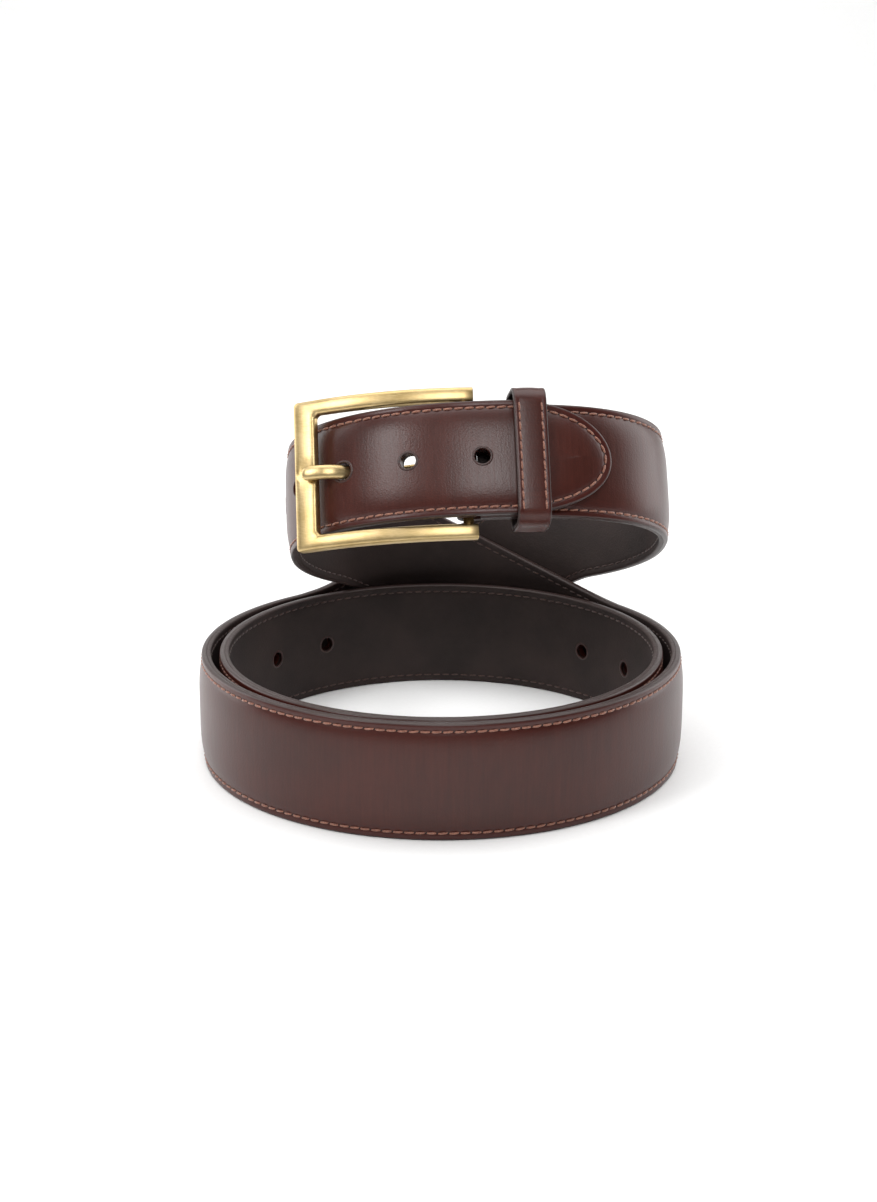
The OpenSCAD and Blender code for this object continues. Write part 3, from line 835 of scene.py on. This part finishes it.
STITCH = dict(Length=0.0026, Width=0.00066, Rise=0.00036, Dive=0.00022, Slant=0.06, Wobble=0.05)
FINE = dict(STITCH, Length=0.0023, Width=0.0005, Rise=0.00016, Dive=0.0002)
# Size of the dark marks at the needle pricks. These marks are painted shade for the holes.
PRICK_SHADE_SIZE = dict(Length=0.0009, Width=0.0006, Rise=-0.00002, Dive=0.0002, Slant=0.0, Wobble=0.1)

def between(spots):
    """Places of the painted shade marks for the needle pricks, half way between neighbouring stitches."""
    return [((p + q) / 2, (q - p).normalized(), n)
            for (p, _, n), (q, _, _) in zip(spots, spots[1:]) if (q - p).length < PITCH * 1.3]

sew("strap_stitches", face_spots, "strap", "thread",
    ("strap_seam_upper", "strap_seam_lower", "point_seam"), Seed=3, Thread=tan_thread, **STITCH)
sew("strap_back_stitches", back_spots, "strap", "thread", (), Seed=5, Thread=brown_thread, **FINE)
sew("inner_turn_stitches", turn_face_spots, "strap", "thread",
    ("inner_turn_seam_upper", "inner_turn_seam_lower"), Seed=7, Thread=tan_thread, **FINE)
sew("inner_turn_back_stitches", turn_back_spots, "strap", "thread", (), Seed=9, Thread=brown_thread, **FINE)
# The dark marks between the face stitches are painted shade for the needle holes.
sew("prick_hole_shade_marks", between(face_spots), "strap", "face_leather", (), Seed=11, Thread=prick_shade, **PRICK_SHADE_SIZE)

# %% [markdown]
# ## The fold round the heel bar
# The buckle hangs in a turned-back strip: the leather goes round the heel bar and lies behind
# the strap. It is a band lofted along that line, with a slot cut where the prong sits.

# %% Heel fold
def fold_line():
    """(place, outward direction) of the band's middle, from the strap's end to the leg's end."""
    line, r = [], HEEL_R + BAR_FIT + FOLD_T / 2
    centre = Vector((HEEL_X, HEEL_Y, HALF_W))
    for k in range(37):
        a = math.radians(-48 - (360 - 48 - 40) * k / 36)
        n = Vector((math.cos(a), math.sin(a), 0))
        line.append((LOOP_C + IN_LOOP @ (centre + r * n), IN_LOOP @ n))
    leg_from = loop_angle(HEEL_X + HEEL_R + 1.6)
    leg_to = angle_at(27.0)
    for k in range(15):
        t = leg_from + (leg_to - leg_from) * k / 14
        p, up, out = station(t)
        line.append((p - (FOLD_GAP + FOLD_T / 2) * out, -out))
    return line

def band(line, half_w, half_t, widths=(0.0, 0.25, 0.6, 2.3, 6.0, 17.0)):
    """Rings of a band with rounded edges, and its map."""
    rings, maps, u, last = [], [], 0.0, line[0][0]
    for p, n in line:
        u += (p - last).length
        last = p
        ring, row = [], []
        for side, face in ((1, 1), (-1, 1), (-1, -1), (1, -1)):
            for e in (widths if side * face > 0 else widths[::-1]):
                round_off = 0.5 * (1 - math.sqrt(1 - (max(0.6 - e, 0) / 0.6) ** 2))
                h = half_t - round_off - 0.1 * math.exp(-((e - 2.3) / 0.5) ** 2)
                ring.append(p + side * (half_w - e) * LOOP_UP + face * h * n)
                row.append((u * MM, side * (half_w - e) * MM))
        rings.append(ring)
        maps.append(row)
    return rings, maps

rings, maps = band(fold_line(), HALF_W - 0.25, FOLD_T / 2)
points, faces, corners = skin(rings)
n = len(maps[0])
heel_fold = mesh_of("heel_fold_leather", points, faces, [maps[i][j % n] for f in corners for i, j in f])
centre = Vector((HEEL_X, HEEL_Y, HALF_W))
SLOT_EDGE, SLOT_REACH = 3.3, 6              # the slot ends just past the prong's eye
block = [LOOP_C + IN_LOOP @ (centre + Vector((x, y, z))) for z in (-PRONG_W / 2 - 0.5, PRONG_W / 2 + 0.5)
         for x, y in ((-SLOT_REACH, -SLOT_REACH), (SLOT_EDGE, -SLOT_REACH),
                      (SLOT_EDGE, SLOT_REACH), (-SLOT_REACH, SLOT_REACH))]
cutter = mesh_of("fold_cutter", block, [(0, 1, 2, 3), (4, 5, 6, 7)]
                 + [(i, (i + 1) % 4, (i + 1) % 4 + 4, i + 4) for i in range(4)])
punch(heel_fold, cutter)
bpy.data.objects.remove(cutter)
finish_piece(heel_fold, "strap", calf, ("heel_fold",), 40)

leg = []
for side in (-1, 1):
    track = []
    for k in range(40):
        p, up, out = station(angle_at(2 + 23.5 * k / 39))
        track.append((p + side * seam_w * up - (FOLD_GAP + FOLD_T) * out, -out))
    leg += spaced(track)
p, up, out = station(angle_at(25.5))
leg += spaced([(p + w * up - (FOLD_GAP + FOLD_T) * out, -out) for w in (-seam_w + 1, seam_w - 1)])
sew("fold_stitches", leg, "strap", "thread", ("fold_seam",), Seed=13, Thread=tan_thread, **FINE)

# %% [markdown]
# ## The buckle frame
# The frame is cast brass, bowed to the waist. Its front face stands a little proud of a fine
# step round the window. A section is lofted from one arm's end round the two corners to the
# other, between the window's outline and the outer outline, and then bent to the bow.

# %% Buckle frame
WINDOW_Z, FRAME_Z = HALF_W + 1.3, HALF_W + 1.3 + ARM_H
IN_X, OUT_X = BAR_REACH - FRONT_BAR_W / 2, BAR_REACH + FRONT_BAR_W / 2
IN_R, OUT_R = 1.5, 1.3
FRAME_SECTION = ((0.0, 1.0), (0.04, 1.4), (0.12, 1.62), (0.22, 1.73), (0.34, 1.78), (0.5, 1.8), (0.72, 1.76),
                 (0.88, 1.6), (0.965, 1.3), (1.0, 0.85), (1.0, -1.1), (0.95, -1.5), (0.84, -1.74),
                 (0.5, -1.8), (0.16, -1.74), (0.05, -1.5), (0.0, -1.1))

def half_outline():
    """Pairs of (inner, outer) points from the middle of the front bar to the end of the upper arm."""
    pairs = [((IN_X, z), (OUT_X, z)) for z in (0.0, 2.0, 4.0, 7.0, 10.0, 13.0, 15.5, WINDOW_Z - IN_R)]
    pairs += [((IN_X, WINDOW_Z - IN_R), (OUT_X, z)) for z in (19.2, 20.6, FRAME_Z - OUT_R)]
    for k in range(1, 9):
        a = math.radians(90 * k / 8)
        pairs.append(((IN_X - IN_R * (1 - math.cos(a)), WINDOW_Z - IN_R * (1 - math.sin(a))),
                      (OUT_X - OUT_R * (1 - math.cos(a)), FRAME_Z - OUT_R * (1 - math.sin(a)))))
    pairs += [((IN_X - IN_R, WINDOW_Z), (x, FRAME_Z)) for x in (49.2, 47.0, IN_X - IN_R)]
    x = IN_X - IN_R
    steps = 18
    along = [x + (-ARM_END - x) * k / steps for k in range(1, steps + 1)]
    return pairs + [((a, WINDOW_Z), (a, FRAME_Z)) for a in along]

upper = half_outline()
pairs = [((a[0], -a[1]), (b[0], -b[1])) for a, b in upper[::-1]] + upper[1:]

def bent(x, z, h):
    a = math.asin((x - BAR_REACH / 2) / BOW_R)
    return heel(BAR_REACH / 2 + (BOW_R + h) * math.sin(a), FRAME_BOW - BOW_R + (BOW_R + h) * math.cos(a), z)

NOTCH_W, NOTCH_DEEP = PRONG_W / 2 + 0.9, 0.45

def worn_notch(x, z):
    """Depth of the rest worn into the front bar under the prong."""
    if x <= IN_X - 0.5:
        return 0.0
    return NOTCH_DEEP * ease((NOTCH_W - abs(z)) / 0.8) * ease((BAR_REACH + 2.2 - x) / 1.2)

rings = []
for (ix, iz), (ox, oz) in pairs:
    ring = []
    for q, h in FRAME_SECTION:
        x, z = ix + q * (ox - ix), iz + q * (oz - iz)
        ring.append(bent(x, z, h - (worn_notch(x, z) if h > 0.5 else 0.0)))
    rings.append(ring)
points, faces, _ = skin(rings)
buckle = mesh_of("buckle_frame_brass", points, faces, weld=0.004)
soft = buckle.modifiers.new("soft_edges", "BEVEL")
soft.width, soft.segments, soft.limit_method, soft.angle_limit = 0.00022, 2, "ANGLE", math.radians(32)
soft.harden_normals = False
settle(buckle)
finish_piece(buckle, "buckle", brass, ("buckle_frame",), 28)

bar_r, bar_end = HEEL_R - 0.2, WINDOW_Z + 0.75 * ARM_H   # a little slimmer, ending inside the arms
bar_rings = [[heel(bar_r * math.cos(a), bar_r * math.sin(a), z)
              for a in (math.tau * k / 32 for k in range(32))]
             for z in (-bar_end, 0.0, bar_end)]
points, faces, _ = skin(bar_rings)
heel_bar = mesh_of("heel_bar_brass", points, faces)
# The darker brass on the heel bar is painted shade.
finish_piece(heel_bar, "buckle", brass_painted_shade, ("heel_bar",), 40)

# %% [markdown]
# ## The prong
# The prong is an eye on the heel bar and a rounded shaft. It dips behind the strap, comes up
# through the hole and lies on the front bar. The shaft is a rounded section lofted along a
# smooth line, and its last rings shrink to a blunt, domed tip.

# %% Prong
def prong_ring(p, d, wide, thick, power=2.6, n=20):
    """Rounded section at a place on the line, square to its direction."""
    side = Vector((-d[1], d[0]))
    ring = []
    for k in range(n):
        a = math.tau * k / n
        c, s = math.cos(a), math.sin(a)
        r = (abs(c) ** power + abs(s) ** power) ** (-1 / power)
        q = p + side * (r * s * thick / 2)
        ring.append(heel(q[0], q[1], r * c * wide / 2))
    return ring

line = prong_line
tip_len = 2.3
rings = []
total = sum((b - a).length for a, b in zip(line, line[1:]))
gone = 0.0
for i, p in enumerate(line):
    if i:
        gone += (p - line[i - 1]).length
    if total - gone < tip_len:
        break
    d = (line[min(i + 1, len(line) - 1)] - line[max(i - 1, 0)]).normalized()
    waist = 1 - 0.18 * math.exp(-((gone - 0.52 * total) / 7.0) ** 2)
    rings.append(prong_ring(p, d, PRONG_W * waist, PRONG_T))
end, d = line[-1], (line[-1] - line[-2]).normalized()
for k in range(0, 10):
    f = k / 9
    shrink = math.sqrt(max(1 - f ** 2.4, 0.0))
    thick = PRONG_T * max(0.25 + 0.75 * shrink, 0.03) if k < 9 else 0.05
    rings.append(prong_ring(end - d * tip_len * (1 - f), d, PRONG_W * max(shrink, 0.03), thick))
parts = [skin(rings)[:2]]
eye_in, eye_out, eye_w = HEEL_R + BAR_FIT, HEEL_R + BAR_FIT + 1.3, PRONG_W / 2
eye = [(eye_in, -eye_w + 0.2), (eye_in + 0.2, -eye_w), (eye_out - 0.4, -eye_w), (eye_out, -eye_w + 0.4),
       (eye_out, eye_w - 0.4), (eye_out - 0.4, eye_w), (eye_in + 0.2, eye_w), (eye_in, eye_w - 0.2)]
eye_rings = [[heel(r * math.cos(a), r * math.sin(a), z) for r, z in eye]
             for a in (math.tau * k / 40 for k in range(40))]
parts.append(skin(eye_rings, closed=True)[:2])
prong = gather("prong_brass", parts)
finish_piece(prong, "prong", brass, ("prong",), 35)

# %% [markdown]
# ## The keeper
# The keeper is a narrow band of two leathers, stitched along both edges and closed with a
# staple behind the strap. It is a loft round a rectangle with soft corners, the face leather
# outside and the lining inside, and it bows a little where it crosses the padded strap.

# %% Keeper
KEEPER_W, KEEPER_T = 10.0, 0.8
KEEP_IN, KEEP_UP = FOLD_GAP + FOLD_T + 1.2, POINT_LIFT + FULL_T + 0.45
KEEP_HALF = HALF_W + 2.2
keep_p, keep_up, keep_out = station(KEEPER_AT)
keep_along = keep_out.cross(keep_up)

def keeper_path(corner=3.2):
    """(outward, across, normal) round the keeper's inner side, closed."""
    path = []
    back = corner * 0.8
    corners = (((KEEP_UP - corner, KEEP_HALF - corner), 0), ((-KEEP_IN + back, KEEP_HALF - back), 90),
               ((-KEEP_IN + back, -KEEP_HALF + back), 180), ((KEEP_UP - corner, -KEEP_HALF + corner), 270))
    for (cx, cy), start in corners:
        r = corner if cx > 0 else corner * 0.8
        for k in range(9):
            a = math.radians(start + 90 * k / 8)
            path.append((cx + r * math.cos(a), cy + r * math.sin(a), (math.cos(a), math.sin(a))))
    full = []
    for (x, y, n), (x2, y2, _) in zip(path, path[1:] + path[:1]):
        full.append((x, y, n))
        gap = math.hypot(x2 - x, y2 - y)
        if gap > 2:
            for k in range(1, int(gap / 1.5)):
                f = k / int(gap / 1.5)
                full.append((x + (x2 - x) * f, y + (y2 - y) * f, n))
    return full

def keeper_spot(x, y, n, h, z):
    bow = 0.45 * max(1 - (y / KEEP_HALF) ** 2, 0) if x > 1 else 0.0
    return keep_p + (x + n[0] * h + bow) * keep_out + (y + n[1] * h) * keep_up + z * keep_along

def keeper_layer(name, h0, h1, outer):
    half = KEEPER_W / 2
    section = [(0.0, 0.45), (0.12, 0.15), (0.4, 0.02), (0.9, 0.0), (1.3, 0.03), (1.6, 0.07),
               (1.9, 0.03), (2.4, -0.02), (3.5, -0.08), (5.0, -0.1)]
    rings, maps, u = [], [], 0.0
    path = keeper_path()
    for i, (x, y, n) in enumerate(path):
        if i:
            u += math.hypot(x - path[i - 1][0], y - path[i - 1][1])
        ring, row = [], []
        for side, part in ((-1, section), (1, section[::-1])):
            for e, dip in part:
                if side > 0 and e == 5.0:
                    continue
                h = (h1 - dip) if outer else (h0 + max(dip, 0) * 0.7)
                ring.append(keeper_spot(x, y, n, h, side * (half - e)))
                row.append((u * MM, side * (half - e) * MM))
        for side, part in ((1, (0.05, 2.4)), (-1, (2.4, 0.05))):
            for e in part:
                ring.append(keeper_spot(x, y, n, h0 if outer else h1, side * (half - e)))
                row.append((u * MM, side * (half - e) * MM))
        rings.append(ring)
        maps.append(row)
    points, faces, corners = skin(rings, closed=True)
    n = len(maps[0])
    maps.append([(u * MM + 0.001, v) for _, v in maps[0]])
    return mesh_of(name, points, faces, [maps[i][j % n] for f in corners for i, j in f])

keeper_face = keeper_layer("keeper_face_leather", KEEPER_T, 2 * KEEPER_T, True)
keeper_back = keeper_layer("keeper_lining_leather", 0.0, KEEPER_T, False)
finish_piece(keeper_face, "keeper", keeper_calf, ("keeper_face",), 50)
finish_piece(keeper_back, "keeper", lining, ("keeper_lining",), 50)
rows = []
for z in (-1, 1):
    track = [(keeper_spot(KEEP_UP, y, (1, 0), 2 * KEEPER_T - 0.12, z * (KEEPER_W / 2 - 1.6)), keep_out)
             for y in (-17.2 + 34.4 * k / 40 for k in range(41))]
    rows += spaced(track, 3.0)
sew("keeper_stitches", rows, "keeper", "thread", ("keeper_seam",), Seed=15,
    Thread=tan_thread, **dict(STITCH, Length=0.0024, Width=0.0006))

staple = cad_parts["keeper_staple"]
staple.data.materials.clear()
staple.data.materials.append(steel)

# %% [markdown]
# ## The studio
# The belt stands on a plain white sweep. Two tall soft boxes at the sides draw the long
# highlights down the leather, one in front and above lights the leaning loop and the brass,
# and one overhead lights the painted edges and the floor.

# %% Floor
def sweep():
    points, faces, wide, rows = [], [], 3000.0, []
    profile = [(-1500.0, 0.0), (900.0, 0.0)] + [(900 + 600 * math.sin(a), 600 - 600 * math.cos(a)) for a in
                                               (math.radians(9 * k) for k in range(1, 11))] + [(1500.0, 2600.0)]
    for y, z in profile:
        points += [(-wide, y, z - 0.02), (wide, y, z - 0.02)]
    for i in range(len(profile) - 1):
        faces.append((2 * i, 2 * i + 1, 2 * i + 3, 2 * i + 2))
    mesh = bpy.data.meshes.new("floor")
    mesh.from_pydata([tuple(c * MM for c in p) for p in points], [], faces)
    obj = bpy.data.objects.new("floor", mesh)
    bpy.context.scene.collection.objects.link(obj)
    obj.data.shade_smooth()
    return obj

floor = sweep()
paper = Shader("white_paper", roughness=0.9, specular_ior_level=0.1)
fibre = paper.noise(paper.place(), 700, 2)
paper.feed(base_color=paper.mix(fibre, tone(244, 244, 243), tone(250, 250, 250)))
floor.data.materials.append(paper.material)

# %% Lights
def soft_box(name, place, target, size, power, colour=(1, 1, 1)):
    lamp = bpy.data.lights.new(name, "AREA")
    lamp.shape, lamp.size, lamp.size_y, lamp.energy, lamp.color = "RECTANGLE", size[0], size[1], power, colour
    obj = bpy.data.objects.new(name, lamp)
    obj.location = place
    obj.rotation_euler = (Vector(target) - Vector(place)).to_track_quat("-Z", "Y").to_euler()
    bpy.context.scene.collection.objects.link(obj)
    return obj

MID = (0.0, 0.0, 0.05)
soft_box("overhead", (0.0, 0.25, 1.6), (0, 0, 0), (2.0, 1.6), 26)
soft_box("left_box", (-1.0, 0.45, 0.45), MID, (0.7, 1.0), 6)
soft_box("right_box", (1.0, 0.45, 0.45), MID, (0.7, 1.0), 6)
soft_box("front_high", (0.06, -0.95, 0.85), MID, (0.26, 0.4), 4)
soft_box("left_high", (-0.80, -0.62, 0.80), MID, (0.34, 0.4), 5)
world = bpy.data.worlds.new("studio")
world.use_nodes = True
world.node_tree.nodes["Background"].inputs["Color"].default_value = (1, 1, 1, 1)
world.node_tree.nodes["Background"].inputs["Strength"].default_value = 0.15
bpy.context.scene.world = world
bpy.context.scene.view_settings.view_transform = "Standard"

# %% Camera
LOOK_AT, DISTANCE, DOWN = Vector((-0.000835, COIL_Y * MM, 0.04899)), 0.612, math.radians(16.2)
camera = bpy.data.cameras.new("camera")
camera.lens, camera.sensor_width = 58.6, 36.0
view = bpy.data.objects.new("camera", camera)
view.location = LOOK_AT + DISTANCE * Vector((0, -math.cos(DOWN), math.sin(DOWN)))
view.rotation_euler = (math.radians(90) - DOWN, 0, 0)
bpy.context.scene.collection.objects.link(view)
bpy.context.scene.camera = view
print("camera at", [round(c, 3) for c in view.location])
